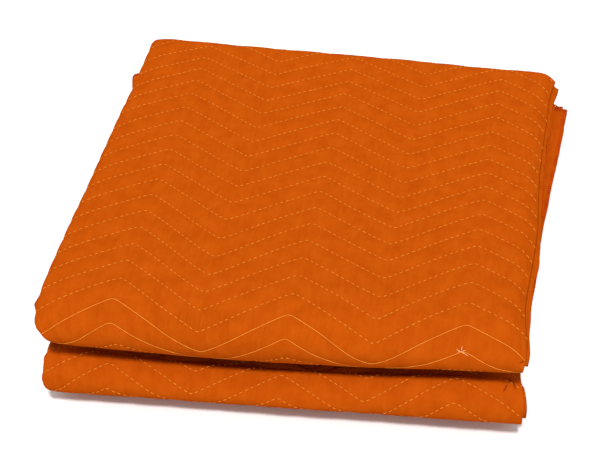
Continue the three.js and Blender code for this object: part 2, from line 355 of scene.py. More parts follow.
@dataclass
class FoldedBlanket:
    """One folded sheet: where each point of its cloth lies.

    Attributes:
        name: start of its pieces' names.
        base: height of its underside in the stack, to which rise adds a little.
        front: y of its front fold, tilted by front_tilt and rounded off over round_off.
        first_row: y of the first row's peaks, were the front square.
        lay: right, edge, left and lag at each place along the path.
        slot: amount and four depths of the slot between the fronts, which grows by slot_right at the right.
        sagging: 1 if its upper half follows the sag, -1 if its lower half does.
        droop: share of the height that the right side loses, over droop_width.
        bulges: y, reach and amount of each bulge of the right side.
        ridge: skin length, reach and height of the swelling along the front.
        gathering: strength of the fine puckers, and of the shade painted in their hollows.
        corner: width and depth of the rounded back right corner.
        ear: how far the last layer's left corner pokes out.
        undercut: how far the lower half draws back, at the left and at the right.
        row_slant: share of x that the rows gain.
        sway: shift of the rows' peaks, at the back and at the front, and squeeze: its change with x.
        pulls: uneven neighbourhoods of the rows.
        creases: troughs in the outer face.
    """

    name: str
    base: float
    front: float
    front_tilt: float
    round_off: float
    first_row: float
    lay: Floats
    rise: float
    slot: tuple[float, float, float, float, float]
    sagging: int
    slot_right: float = 0.0
    droop: float = 0.0
    droop_width: float = 24.0
    bulges: tuple[tuple[float, float, float], ...] = ()
    ridge: tuple[float, float, float] = (-31.0, 8.0, 0.0)
    gathering: float = 0.0
    corner: Pair = (0.0, 1.0)
    ear: float = 0.0
    undercut: Pair = (0.0, 0.0)
    row_slant: float = 0.0
    sway: Pair = (0.0, 0.0)
    squeeze: Pair = (0.0, 0.0)
    pulls: list[Pull] = field(default_factory=list)
    creases: list[Crease] = field(default_factory=list)
    wander: SoftNoise = SoftNoise(11, 46, 31)
    sideways: SoftNoise = SoftNoise(21, 62, 17)
    endways: SoftNoise = SoftNoise(22, 74, 17)
    hollows: SoftNoise = SoftNoise(23, 84, 96)
    edge_waves: SoftNoise = SoftNoise(24, 27, 5)
    path: FoldPath = field(init=False)
    skin_b: Floats = field(init=False)
    skin_length: Floats = field(init=False)
    row_zero: float = field(init=False)

    def __post_init__(self) -> None:
        """Works out the path from back to front and the lengths along the outer skin."""
        half_height = BLANKET_HEIGHT / 2
        far = BACK_FACE - BUNDLE_PITCH / 2 - HALF_BUNDLE
        near = self.front + half_height
        self.path = FoldPath.of_length(CLOTH_LENGTH, BUNDLE_PITCH, near, far, END_STAGGER)
        self.skin_b = np.linspace(0, CLOTH_LENGTH, round(CLOTH_LENGTH / SKIN_STEP) + 1)
        outer = np.where(self.skin_b < self.places[4], HALF_BUNDLE, 0.0)
        points = self.place(np.zeros_like(outer), outer, self.skin_b)
        steps = np.linalg.norm(np.diff(points, axis=0), axis=1)
        steps[np.diff(outer) != 0] = SKIN_STEP
        self.skin_length = np.concatenate([[0.0], np.cumsum(steps)])
        round_start = self.places[2] + self.round_off - half_height
        self.row_zero = float(self.skin(round_start)) + self.first_row - self.front - self.round_off

    @property
    def places(self) -> Floats:
        """The eight lengths at which the layers and folds begin and end."""
        return self.path.starts

    def skin(self, b: Floats | float) -> Floats:
        """Turns lengths along the path into lengths along the outer skin."""
        return np.interp(b, self.skin_b, self.skin_length)

    def from_skin(self, length: Floats) -> Floats:
        """Turns lengths along the outer skin into lengths along the path."""
        return np.interp(length, self.skin_length, self.skin_b)

    def past_fold(self, b: Floats) -> Floats:
        """Skin lengths behind the start of the top layer."""
        return self.skin(b) - self.skin(self.places[2])

    def lay_at(self, b: Floats) -> Floats:
        """Blends the lay's rows with smoothstep between the eight places.

        Args:
            b: lengths along the path.

        Returns:
            Right, edge, left and lag, along the first axis.
        """
        piece = np.clip(np.searchsorted(self.places, b, side="left") - 1, 0, 6)
        start, stop = self.places[piece], self.places[piece + 1]
        t = np.clip((b - start) / (stop - start), 0, 1)
        share = (t * t * (3 - 2 * t))[..., None]
        return np.moveaxis(mix(self.lay[piece], self.lay[piece + 1], share), -1, 0)

    def front_share(self, y: Floats) -> Floats:
        """The share of the height left at y, where the front rounds off as part of an oval.

        With depth behind the front, it is the oval sqrt(depth * (2 * round - depth)) / round, over the half
        circle sqrt(depth * (2 * half - depth)) / half that the path already makes.

        Args:
            y: place in y, in front of the tilt.

        Returns:
            The share.
        """
        half = BLANKET_HEIGHT / 2
        depth = np.maximum(y - self.front, 0)
        oval = np.sqrt(np.maximum(2 * self.round_off - depth, 0)) / self.round_off
        rounded = oval * half / np.sqrt(np.maximum(2 * half - depth, half))
        share = np.where(depth < half, rounded, oval * np.sqrt(depth))
        return np.where(depth < self.round_off, share, 1)

    def place(self, x: Floats, w: Floats, b: Floats) -> Floats:
        """Where a point of the bundle of four plies lies.

        The path gives y and the level. The level is scaled by the front's and the sides' rounding, x is moved by
        the lay, and y by the tilt of the front and back. A lean turns the stack a little.

        Args:
            x: place across the bundle.
            w: height over the middle of the bundle.
            b: length along the path.

        Returns:
            Points in the part's frame, with the coordinates along the last axis.
        """
        y0, level0, ny, nz = self.path.at(b)
        right, edge, left, lag = self.lay_at(b)
        y, level = y0 + ny * w, level0 + nz * w
        half = BLANKET_HEIGHT / 2
        depth = y - self.front
        height = level * self.front_share(y) * self.side_share(x, level)
        slot = self.slot_depth(x, depth, level / half) * smooth(x, *SLOT_LEFT_END)
        sag = meeting_sag(x, y) * np.clip(self.sagging * level / half, 0, 1)
        z = self.base + self.rise + half + height + slot - sag
        under = np.clip(-level / half, 0, 1) ** 2 * (1 - smooth(depth, *UNDERCUT_FADE))
        y = y + mix(*self.undercut, smooth(x, LEFT_FACE, RIGHT_FACE)) * under
        over = np.maximum(x - RIGHT_FACE, 0)
        reach = edge + EDGE_WAVES * self.edge_waves.at(b, w + EDGE_NOISE_SHIFT)
        reached = np.minimum(x, RIGHT_FACE) + over * reach / EDGE_REACH
        shifted = reached + np.where(x > 0, right * x / RIGHT_FACE, -left * x / LEFT_FACE)
        at_right = smooth(x, RIGHT_CHANGE, RIGHT_FACE)
        for middle, extent, bulge in self.bulges:
            shifted = shifted + bulge * np.exp(-(((y - middle) / extent) ** 2) / 2) * at_right
        shifted = shifted - self.corner_inset(y, b) * smooth(x, RIGHT_FACE - CORNER_WIDTH, RIGHT_FACE)
        at_end = smooth(b, self.places[7] - EAR_LENGTH, self.places[7])
        shifted = shifted + self.ear * at_end * np.minimum(x, 0) / -LEFT_FACE
        tilt = mix(self.front_tilt, BACK_TILT, (y - self.front) / (BACK_FACE - self.front))
        turned = y + tilt * shifted + lag * x / RIGHT_FACE
        return self.settle(np.stack([shifted + SIDEWAYS_LEAN * y, turned, z], axis=-1)) + FRAME_SHIFT

    def side_share(self, x: Floats, level: Floats) -> Floats:
        """The share of the height left at x: both sides are pinched, and the right one droops over its fold.

        With t running from 0 to 1 over the droop's width, the upper half keeps 1 - droop * t^2.

        Args:
            x: place across the bundle.
            level: height over the blanket's middle.

        Returns:
            The share.
        """
        past = np.maximum(x - RIGHT_FACE, LEFT_FACE - x) + SIDE_PINCH_WIDTH
        pinch = 1 - SIDE_PINCH * np.clip(past / SIDE_PINCH_WIDTH, 0, 1) ** 2
        t = np.clip((x - RIGHT_FACE) / self.droop_width + 1, 0, 1)
        drooped = 1 - self.droop * t * t
        return np.where((level > 0) & (x > 0) & (self.droop > 0), drooped, pinch)

    def slot_depth(self, x: Floats, depth: Floats, level: Floats) -> Floats:
        """How the slot between the two front rolls lifts or lowers the half of the blanket that faces it.

        It is the slot's amount times the level, times a smooth rise over the first two depths and a smooth
        fall over the last two. Towards the right end it grows by a share of its own.

        Args:
            x: place across the bundle.
            depth: distance behind the front.
            level: height as a share, from -1 to 1.

        Returns:
            Millimetres, up or down.
        """
        amount, start, full, ease, stop = self.slot
        bell = smooth(depth, start, full) * (1 - smooth(depth, ease, stop))
        lift = 1 + self.slot_right * smooth(x, SLOT_CHANGE, RIGHT_FACE)
        return amount * bell * lift * np.maximum(-math.copysign(1, amount) * level, 0)

    def corner_inset(self, y: Floats, b: Floats) -> Floats:
        """How far the back right corner of the upper two layers is rounded off: r * (1 - sqrt(1 - t^2)).

        Args:
            y: place in y.
            b: lengths along the path.

        Returns:
            Millimetres.
        """
        across, along = self.corner
        t = np.clip((y - BACK_FACE) / along + 1, 0, CORNER_STEEPEST)
        inset = across * (1 - np.sqrt(1 - t * t))
        return np.where((b > self.places[2]) & (b < self.places[5]), inset, 0)

    def settle(self, points: Floats) -> Floats:
        """Moves whole neighbourhoods a little, as cloth settles: no layer passes through another.

        x gains soft noise of y and z, y gains soft noise of x and z, and z loses a share that depends on x and
        y alone.

        Args:
            points: points of the stack.

        Returns:
            The moved points.
        """
        x, y, z = np.moveaxis(points, -1, 0)
        hollow = HOLLOW_DEPTH + HOLLOW_DEPTH * self.hollows.at(x, y)
        moved_x = x + SIDEWAYS_DRIFT * self.sideways.at(y, z)
        moved_y = y + ENDWAYS_DRIFT * self.endways.at(x, z)
        return np.stack([moved_x, moved_y, z * (1 - hollow / STACK_HEIGHT)], axis=-1)

    def point(self, a: Floats, b: Floats, height: Floats | float) -> Floats:
        """Where a point of the sheet lies, at a height over the middle of the cloth."""
        x, w, nx, nw = ACROSS.at(a)
        return self.place(x + nx * height, w + nw * height, b)

    def behind(self, a: Floats, peak: Floats) -> Floats:
        """How far the row whose peaks lie at a skin length lies in front of them, with all its unevenness.

        It is the zigzag of a less the sway, plus the slant, the soft wander and the pulls. The sway changes
        from the back to the front, and along x by the squeeze.

        Args:
            a: lengths across the cloth.
            peak: skin lengths of the row's peaks.

        Returns:
            Millimetres along the skin.
        """
        row = (peak - self.row_zero) / QUILTING.row_pitch
        x = top_x(a)
        to_front = smooth(-row, *SWAY_ROWS)
        sway = mix(*self.sway, to_front) - mix(*self.squeeze, to_front) * x
        total = QUILTING.zigzag(a - sway) + self.row_slant * x + ROW_WANDER * self.wander.at(a, peak)
        for pull in self.pulls:
            total = total + pull.at(x, row)
        return total

    def row_phase(self, a: Floats, b: Floats) -> Floats:
        """Counts the stitched rows: a whole number is on a row.

        Args:
            a: lengths across the cloth.
            b: lengths along the cloth.

        Returns:
            The count, with its fraction.
        """
        skin = self.skin(b)
        peak = skin + QUILTING.zigzag(a)
        for _ in range(2):
            peak = skin + self.behind(a, peak)
        return (peak - self.row_zero) / QUILTING.row_pitch

    def edge_distance(self, a: Floats, b: Floats) -> Floats:
        """How far a point of the flat cloth lies from its nearest cut edge."""
        return np.minimum(np.minimum(a, CLOTH_WIDTH - a), np.minimum(b, CLOTH_LENGTH - b))

    def half_thickness(self, a: Floats, b: Floats) -> Floats:
        """Half the cloth's thickness, which the sewing at the cut edges presses to two thirds."""
        return FACE_HALF * mix(EDGE_PRESSED, 1, smooth(self.edge_distance(a, b), 0, EDGE_PRESSED_WIDTH))

    def face_height(self, a: Floats, b: Floats) -> Floats:
        """The outer face's height: the half thickness with puffed channels between the rows, less the creases.

        With off running from 0 on a row to 1 halfway to the next, a channel's puff is 1 - (1 - off) to the power
        of the quilting's puff. A low ridge, as a bell along the skin, swells the front's shoulder.

        Args:
            a: lengths across the cloth.
            b: lengths along the cloth.

        Returns:
            The height over the middle of the cloth.
        """
        phase = self.row_phase(a, b)
        off = 2 * np.abs(phase - np.round(phase))
        puff = 1 - (1 - off) ** QUILTING.puff
        height = self.half_thickness(a, b) - QUILTING.trough * (1 - puff) + QUILTING.crown * puff
        x = top_x(a)
        length = self.past_fold(b)
        for crease in self.creases:
            height = height - crease.depth_at(x, length)
        middle, reach, rise = self.ridge
        line = middle + RIDGE_WANDER * self.wander.at(x, np.full_like(x, RIDGE_NOISE_ROW))
        return height + rise * bell(length, line, reach)

    def gathers_and_shade(self, a: Floats, b: Floats) -> Floats:
        """The strength of the fine puckers and of the shade painted in their hollows: a band along the front's
        shoulder, strongest towards its left.
        """
        along_front = mix(GATHER_LEAST, 1, bell(top_x(a), *GATHER_PEAK))
        return self.gathering * bell(self.past_fold(b), *GATHER_BAND) * along_front

    def normal(self, a: Floats, b: Floats, height: Floats | float) -> Floats:
        """The cloth's outward normal: the cross product of its two directions, without its quilting.

        Args:
            height: height over the middle of the cloth.
            a: lengths across the cloth.
            b: lengths along the cloth.

        Returns:
            Unit vectors.
        """
        across = self.point(a + 0.5, b, height) - self.point(a - 0.5, b, height)
        along = self.point(a, b + 0.5, height) - self.point(a, b - 0.5, height)
        normal = np.cross(across, along)
        return normal / np.linalg.norm(normal, axis=-1, keepdims=True)

    def on_face(self, a: Floats, b: Floats) -> tuple[Floats, Floats]:
        """The points of the outer face, and the cloth's normals there."""
        return self.point(a, b, self.face_height(a, b)), self.normal(a, b, FACE_HALF)

    def row_skin(self, a: Floats, row: int) -> Floats:
        """The skin lengths of one row, counted from the first row of peaks."""
        peak = self.row_zero + row * QUILTING.row_pitch
        return peak - self.behind(a, np.full_like(a, peak))


def build_mesh(name: str, points: Floats, polygons: list[Indices]) -> bpy.types.Mesh:
    """Puts arrays of points and faces into a mesh.

    Args:
        name: name of the mesh.
        points: points in millimetres, one to a row.
        polygons: arrays of corner indices, with one face to a row.

    Returns:
        The mesh, in metres and smooth shaded.
    """
    sizes = np.concatenate([np.full(len(faces), faces.shape[1]) for faces in polygons])
    corners = np.concatenate([faces.ravel() for faces in polygons])
    mesh = bpy.data.meshes.new(name)
    mesh.vertices.add(len(points))
    mesh.vertices.foreach_set("co", (points * METRES).astype(np.float32).ravel())
    mesh.loops.add(len(corners))
    mesh.loops.foreach_set("vertex_index", corners.astype(np.int32))
    mesh.polygons.add(len(sizes))
    mesh.polygons.foreach_set("loop_start", (np.cumsum(sizes) - sizes).astype(np.int32))
    mesh.polygons.foreach_set("use_smooth", np.ones(len(sizes), bool))
    mesh.update(calc_edges=True)
    mesh.validate()
    return mesh


def add_object(name: str, data: bpy.types.ID) -> bpy.types.Object:
    """Makes an object at the origin and puts it into the scene.

    Args:
        name: its name.
        data: its mesh, camera or light.

    Returns:
        The object.
    """
    made = bpy.data.objects.new(name, data)
    bpy.context.scene.collection.objects.link(made)
    return made


def make_piece(mesh: bpy.types.Mesh, material: bpy.types.Material) -> bpy.types.Object:
    """Makes a piece from a mesh, with one material, riding on the stack's only body.

    Args:
        mesh: its mesh.
        material: its only material.

    Returns:
        The piece.
    """
    piece = add_object(mesh.name, mesh)
    mesh.materials.append(material)
    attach(piece, "root")
    return piece


def tubes(centres: Floats, normals: Floats, radii: Floats, sides: int) -> tuple[Floats, list[Indices]]:
    """Carries a round section along many lines at once.

    A ring's points are centre + radius * (cos * normal + sin * (tangent x normal)).

    Args:
        centres: lines by stations by coordinates.
        normals: a direction across the line at each station, in the same shape.
        radii: lines by stations.
        sides: points in a ring.

    Returns:
        Points, and faces as arrays: the walls and the two ends.
    """
    lines, stations = centres.shape[:2]
    tangents = np.gradient(centres, axis=1)
    tangents /= np.linalg.norm(tangents, axis=-1, keepdims=True)
    second = np.cross(tangents, normals)
    second /= np.maximum(np.linalg.norm(second, axis=-1, keepdims=True), 1e-9)
    first = np.cross(second, tangents)
    angle = np.arange(sides) * 2 * math.pi / sides
    ring = first[:, :, None] * np.cos(angle)[:, None] + second[:, :, None] * np.sin(angle)[:, None]
    points = centres[:, :, None] + radii[:, :, None, None] * ring
    index = np.arange(lines * stations * sides).reshape(lines, stations, sides)
    turned = np.roll(index, -1, axis=2)
    walls = np.stack([index[:, :-1], turned[:, :-1], turned[:, 1:], index[:, 1:]], axis=-1)
    return points.reshape(-1, 3), [walls.reshape(-1, 4), index[:, 0, ::-1], index[:, -1]]


def thread_piece(
    name: str, lines: tuple[Floats, Floats], radii: Floats | float, sides: int, finish: "ThreadFinish"
) -> bpy.types.Object:
    """Makes many threads as one piece.

    Args:
        name: name of the piece.
        lines: the threads' centres and normals, as lines by stations by coordinates.
        radii: radii that fit lines by stations.
        sides: points in a ring.
        finish: finish of the thread.

    Returns:
        The piece.
    """
    centres, normals = lines
    points, faces = tubes(centres, normals, np.broadcast_to(radii, centres.shape[:2]), sides)
    LOG.info("%s: %d threads", name, len(centres))
    return make_piece(build_mesh(name, points, faces), finish.material())


@dataclass(frozen=True)
class Zone:
    """A stretch of the skin, and the stations that each row has on it."""

    start: float
    stop: float
    stations: Floats


def zones_between(limits: list[float], stations: list[Floats]) -> list[Zone]:
    """Makes zones that meet at the limits."""
    return [Zone(*zone) for zone in zip(limits, limits[1:], stations)]


@dataclass
class QuiltedSheet:
    """The cloth of one blanket: a closed sheet whose grid follows the stitched rows."""

    blanket: FoldedBlanket
    zones: list[Zone]
    top_steps: int = 24
    corner_side: float = 4.0
    fold_margin: float = 2.0
    top_margin: float = 1.2
    least_across: float = 1.0
    least_along: float = 0.9
    fade: float = 120.0
    seam_width: float = 2.2
    edge_width: float = 6.0

    def across_stations(self) -> Floats:
        """Stations across the flat cloth: close on the top ply and at folds, else at the zigzag's corners.

        Returns:
            The stations, in order.
        """
        s = ACROSS.starts
        flat_x = ACROSS_NEAR - s[2] - QUILTING.peak_x
        half_period = QUILTING.half_period
        corners = np.arange(math.ceil(flat_x / half_period), math.floor((CLOTH_WIDTH + flat_x) / half_period) + 1)
        corners = corners * half_period - flat_x
        hidden = (corners[:, None] + self.corner_side * np.array([-1, 0, 1])).ravel()
        for start, stop in ((s[1], s[4]), (s[5], s[6])):
            hidden = hidden[(hidden < start - self.fold_margin) | (hidden > stop + self.fold_margin)]
        step = half_period / self.top_steps
        first = math.ceil((s[2] + flat_x + self.top_margin) / step)
        last = math.floor((s[3] + flat_x - self.top_margin) / step)
        parts = [hidden, np.arange(first, last + 1) * step - flat_x, EDGE_STATIONS, CLOTH_WIDTH - EDGE_STATIONS]
        parts += [np.linspace(s[k], s[k + 1], count) for k, count in ((1, 13), (3, 9), (5, 7))]
        parts += [s[k] + PINCH_STATIONS for k in (4, 6)] + [s[k] - PINCH_STATIONS for k in (1, 5)]
        parts += [EDGE_REACH + PINCH_STATIONS, CLOTH_WIDTH - EDGE_REACH - PINCH_STATIONS]
        return self.thinned(np.concatenate(parts), self.least_across)

    def row_stations(self) -> Floats:
        """Stations along the skin, on and between the stitched rows, and at the two cut ends.

        Returns:
            The stations, in order.
        """
        blanket = self.blanket
        length = float(blanket.skin_length[-1])
        pitch = QUILTING.row_pitch
        parts = [EDGE_STATIONS, length - EDGE_STATIONS]
        for zone in self.zones:
            first = math.ceil((zone.start - blanket.row_zero) / pitch)
            last = math.floor((zone.stop - blanket.row_zero) / pitch)
            rows = (np.arange(first, last + 1)[:, None] + zone.stations).ravel()
            parts.append(blanket.row_zero + rows * pitch)
        stations = np.concatenate(parts)
        return self.thinned(stations[(stations >= 0) & (stations <= length)], self.least_along)

    @staticmethod
    def thinned(stations: Floats, least: float) -> Floats:
        """Sorts stations, drops those closer than least to the one before, and makes their number odd.

        Args:
            stations: lengths in any order.
            least: least distance.

        Returns:
            The stations that are left.
        """
        stations = np.sort(stations)
        end = stations[-1]
        kept = stations[np.concatenate([[True], np.diff(stations) > least])]
        kept = np.append(kept[kept < end - least], end)
        if len(kept) % 2 == 0:
            widest = int(np.argmax(np.diff(kept)))
            kept = np.insert(kept, widest + 1, (kept[widest] + kept[widest + 1]) / 2)
        return kept

    def grid(self) -> tuple[Floats, Floats]:
        """The flat coordinates of the grid: rows of stations, each bent to the zigzag but for the cut ends.

        Along the skin a station lies at v - behind(a, v) * share, where share falls to 0 at both ends.

        Returns:
            a and b, rows by columns.
        """
        across, rows = np.meshgrid(self.across_stations(), self.row_stations())
        length = float(self.blanket.skin_length[-1])
        share = smooth(rows, 0, self.fade) * (1 - smooth(rows, length - self.fade, length))
        return across, self.blanket.from_skin(rows - self.blanket.behind(across, rows) * share)

    def build(self, finish: "ClothFinish") -> bpy.types.Object:
        """Makes the sheet: a fine outer face, an inner face on every second station, and a rim between them.

        Args:
            finish: finish of the cloth.

        Returns:
            The piece.
        """
        blanket = self.blanket
        a, b = self.grid()
        rows, columns = a.shape
        outer_points = blanket.point(a, b, blanket.face_height(a, b))
        half_a, half_b = a[::2, ::2], b[::2, ::2]
        inner_points = blanket.point(half_a, half_b, -blanket.half_thickness(half_a, half_b))
        outer = np.arange(rows * columns).reshape(rows, columns)
        inner = rows * columns + np.arange(half_a.size).reshape(half_a.shape)
        faces = [
            self.quads(outer),
            self.quads(inner)[:, ::-1],
            self.rim(inner[0], outer[0]),
            self.rim(inner[-1], outer[-1])[:, ::-1],
            self.rim(inner[:, 0], outer[:, 0])[:, ::-1],
            self.rim(inner[:, -1], outer[:, -1]),
        ]
        points = np.concatenate([outer_points.reshape(-1, 3), inner_points.reshape(-1, 3)])
        mesh = build_mesh(f"{blanket.name}_cloth", points, faces)
        flat_a = np.concatenate([a.ravel(), half_a.ravel()])
        flat_b = np.concatenate([b.ravel(), half_b.ravel()])
        phase = blanket.row_phase(flat_a, flat_b)
        seam = bell((phase - np.round(phase)) * QUILTING.row_pitch, 0, self.seam_width)
        edge = np.exp(-((blanket.edge_distance(flat_a, flat_b) / self.edge_width) ** 4))
        # The gathers mask sets both the puckers' bump and the shade painted in their hollows
        gathers_and_shade = blanket.gathers_and_shade(flat_a, flat_b)
        flat = np.stack([flat_a, flat_b, np.zeros_like(flat_a)], axis=-1) * METRES
        for label, kind, key, values in (
            ("flat_place", "FLOAT_VECTOR", "vector", flat),
            ("seam", "FLOAT", "value", seam),
            ("cut_edge", "FLOAT", "value", edge),
            ("gathers_and_shade", "FLOAT", "value", gathers_and_shade),
        ):
            layer = mesh.attributes.new(label, kind, "POINT")
            layer.data.foreach_set(key, values.astype(np.float32).ravel())
        LOG.info("%s: %d by %d stations, %d faces", mesh.name, rows, columns, len(mesh.polygons))
        return make_piece(mesh, finish.material())

    @staticmethod
    def quads(index: Indices) -> Indices:
        """Joins a grid of point indices into quads that face its outer side."""
        corners = [index[:-1, :-1], index[:-1, 1:], index[1:, 1:], index[1:, :-1]]
        return np.stack(corners, axis=-1).reshape(-1, 4)

    @staticmethod
    def rim(inner: Indices, outer: Indices) -> Indices:
        """Joins a line of inner points to its line of twice as many outer points, in five-sided faces."""
        corners = [inner[:-1], inner[1:], outer[2::2], outer[1::2], outer[:-2:2]]
        return np.stack(corners, axis=-1)


@dataclass
class RowStitching:
    """The stitches of the quilted rows, as short threads that dip into the cloth at both ends."""

    blanket: FoldedBlanket
    seen_from: float
    seen_to: float
    underside: bool
    pitch: float = 6.7
    length: float = 4.5
    radius: float = 0.42
    bow: float = 0.62
    sunk: float = 0.22
    stations: int = 5
    thinnest: float = 0.55
    jitter: float = 0.3
    length_shares: Pair = (0.86, 1.1)
    fold_margin: float = 14.0
    side_margin: float = 3.0
    end_margin: float = 1.0
    edge_margin: float = 7.0
    underside_margin: float = 8.0
    loose_rows: tuple[int, ...] = ()

    def row_line(self, row: int) -> tuple[Floats, Floats, Floats]:
        """Follows one row over the flat cloth.

        Args:
            row: number of the row, from the first row of peaks.

        Returns:
            a, b and the length run along the row, at each millimetre of a.
        """
        a = np.arange(0, CLOTH_WIDTH + 0.5, 1.0)
        skin = self.blanket.row_skin(a, row)
        b = self.blanket.from_skin(skin)
        points = self.blanket.point(a, b, FACE_HALF)
        steps = np.linalg.norm(np.diff(points, axis=0), axis=1)
        steps = np.where((skin[1:] > 1) & (skin[1:] < self.blanket.skin_length[-1] - 1), steps, 0)
        return a, b, np.concatenate([[0.0], np.cumsum(steps)])

    def shown(self, a: Floats, b: Floats) -> Floats:
        """True where a stitch can be seen: on the outer skin, and round the folds at both sides.

        Args:
            a: lengths across the cloth.
            b: lengths along the cloth.

        Returns:
            True or False for each stitch.
        """
        s = ACROSS.starts
        skin = self.blanket.skin(b)
        on_top = (a > s[1] - self.fold_margin) & (a < s[3] - self.end_margin)
        outer = (skin > self.seen_from) & (skin < self.seen_to)
        sides = a < s[2] + self.side_margin
        below = (np.minimum(a, b) > self.underside_margin) & (a < s[1]) & (b < self.blanket.places[2])
        inside = self.blanket.edge_distance(a, b) > self.edge_margin
        return (on_top & (outer | sides) & inside) | (below & self.underside)

    def dashes(self) -> tuple[Floats, Floats]:
        """The flat coordinates of every stitch that shows.

        Returns:
            a and b, stitches by stations.
        """
        rng = np.random.default_rng(5)
        blanket = self.blanket
        last = int((blanket.skin_length[-1] + QUILTING.height - blanket.row_zero) / QUILTING.row_pitch)
        first = -int(blanket.row_zero / QUILTING.row_pitch)
        found_a, found_b = [], []
        for row in range(first, last + 1):
            if row in self.loose_rows:
                continue
            a, b, run = self.row_line(row)
            starts = np.arange(rng.uniform(1, self.pitch), run[-1] - self.length, self.pitch)
            starts = starts + rng.uniform(-self.jitter, self.jitter, len(starts))
            lengths = self.length * rng.uniform(*self.length_shares, len(starts))
            at = starts[:, None] + lengths[:, None] * np.linspace(0, 1, self.stations)
            dash_a = np.interp(at, run, a)
            dash_b = np.interp(at, run, b)
            keep = self.shown(dash_a[:, self.stations // 2], dash_b[:, self.stations // 2])
            found_a.append(dash_a[keep])
            found_b.append(dash_b[keep])
        return np.concatenate(found_a), np.concatenate(found_b)

    def build(self, finish: "ThreadFinish") -> bpy.types.Object:
        """Makes all stitches as one mesh: a stitch rises as half a sine and thins at its ends.

        Args:
            finish: finish of the thread.

        Returns:
            The piece.
        """
        a, b = self.dashes()
        rise = np.sin(np.linspace(0, math.pi, self.stations))
        centres, normals = self.blanket.on_face(a, b)
        centres = centres + normals * (self.bow * rise - self.sunk)[None, :, None]
        radii = self.radius * mix(self.thinnest, 1, rise)
        return thread_piece(f"{self.blanket.name}_stitches", (centres, normals), radii, 4, finish)


@dataclass
class LooseThread:
    """The rows on the front whose stitches have run together into one thread that lies on the cloth."""

    blanket: FoldedBlanket
    rows: tuple[int, ...]
    radius: float = 0.34
    lift: float = 0.42
    past_left: float = 12.0
    before_right: float = 1.0
    stations: int = 280
    easing: int = 7

    def build(self, finish: "ThreadFinish") -> bpy.types.Object:
        """Makes the threads over the top ply, from its left fold to its right one, as one mesh.

        Args:
            finish: finish of the thread.

        Returns:
            The piece.
        """
        s = ACROSS.starts
        a = np.linspace(s[2] - self.past_left, s[3] - self.before_right, self.stations)
        window = np.hanning(self.easing)
        lines = []
        for row in self.rows:
            padded = np.pad(self.blanket.row_skin(a, row), self.easing // 2, mode="edge")
            eased = np.convolve(padded, window / window.sum(), mode="valid")
            lines.append(self.blanket.from_skin(eased))
        b = np.array(lines)
        a = np.broadcast_to(a, b.shape)
        centres, normals = self.blanket.on_face(a, b)
        lines = (centres + normals * self.lift, normals)
        return thread_piece(f"{self.blanket.name}_loose_thread", lines, self.radius, 6, finish)


@dataclass
class LooseEnds:
    """Short ends of thread on the outer skin, each as x, skin length, both runs and the height of its bow."""

    blanket: FoldedBlanket
    label: str
    strands: Floats
    radius: float
    stations: int = 7

    def build(self, finish: "ThreadFinish") -> bpy.types.Object:
        """Makes the ends as one mesh: each runs straight over the cloth and bows up as half a sine.

        Args:
            finish: finish of the thread.

        Returns:
            The piece.
        """
        t = np.linspace(0, 1, self.stations)
        x, length, run_x, run_length, bow = self.strands.T[:, :, None]
        a = x + run_x * t + ACROSS.starts[2] - ACROSS_NEAR
        skin = length + run_length * t + self.blanket.skin(self.blanket.places[2])
        b = self.blanket.from_skin(skin)
        lift = self.radius + bow * np.sin(math.pi * t)
        centres, normals = self.blanket.on_face(a, b)
        lines = (centres + normals * lift[..., None], normals)
        return thread_piece(f"{self.blanket.name}_{self.label}", lines, self.radius, 4, finish)


class Side(Enum):
    """The four cut edges of the flat cloth."""

    FIRST_SIDE = "a low"
    LAST_SIDE = "a high"
    FIRST_END = "b low"
    LAST_END = "b high"


@dataclass
class EdgeThread:
    """The overlocked cut edges: loops of thread that wrap the edge from one face to the other."""

    blanket: FoldedBlanket
    label: str
    sides: tuple[Side, ...]
    pitch: float = 3.5
    radius: float = 0.32
    slant: float = 1.6
    inset: float = 2.0
    flattest: float = 0.05

    def flat_points(self, side: Side) -> tuple[Floats, Floats]:
        """The flat coordinates of the loops along one edge.

        Args:
            side: which edge.

        Returns:
            a and b, loops by stations.
        """
        length = CLOTH_LENGTH if side in (Side.FIRST_SIDE, Side.LAST_SIDE) else CLOTH_WIDTH
        starts = np.arange(self.inset, length - self.inset, self.pitch)
        along = starts[:, None] + self.slant * np.linspace(-0.5, 0.5, len(LOOP))
        inward = np.broadcast_to(LOOP[:, 0], along.shape)
        return {
            Side.FIRST_SIDE: (inward, along),
            Side.LAST_SIDE: (CLOTH_WIDTH - inward, along),
            Side.FIRST_END: (along, inward),
            Side.LAST_END: (along, CLOTH_LENGTH - inward),
        }[side]

    def build(self, finish: "ThreadFinish") -> bpy.types.Object:
        """Makes the loops of its edges as one mesh.

        Args:
            finish: finish of the thread.

        Returns:
            The piece.
        """
        flat = [self.flat_points(side) for side in self.sides]
        a = np.concatenate([pair[0] for pair in flat])
        b = np.concatenate([pair[1] for pair in flat])
        half = self.blanket.half_thickness(np.clip(a, 0, CLOTH_WIDTH), np.clip(b, 0, CLOTH_LENGTH))
        height = LOOP[:, 1] * half
        centres = self.blanket.point(a, b, height)
        normals = self.blanket.normal(a, b, 0.0)
        tangents = np.gradient(centres, axis=1)
        across = np.cross(tangents, normals)
        flat_enough = np.linalg.norm(across, axis=-1, keepdims=True) > self.flattest
        edgeways = np.cross(normals, np.cross(normals, centres[:, -1:] - centres[:, :1]))
        normals = np.where(flat_enough, normals, edgeways)
        return thread_piece(f"{self.blanket.name}_{self.label}", (centres, normals), self.radius, 3, finish)


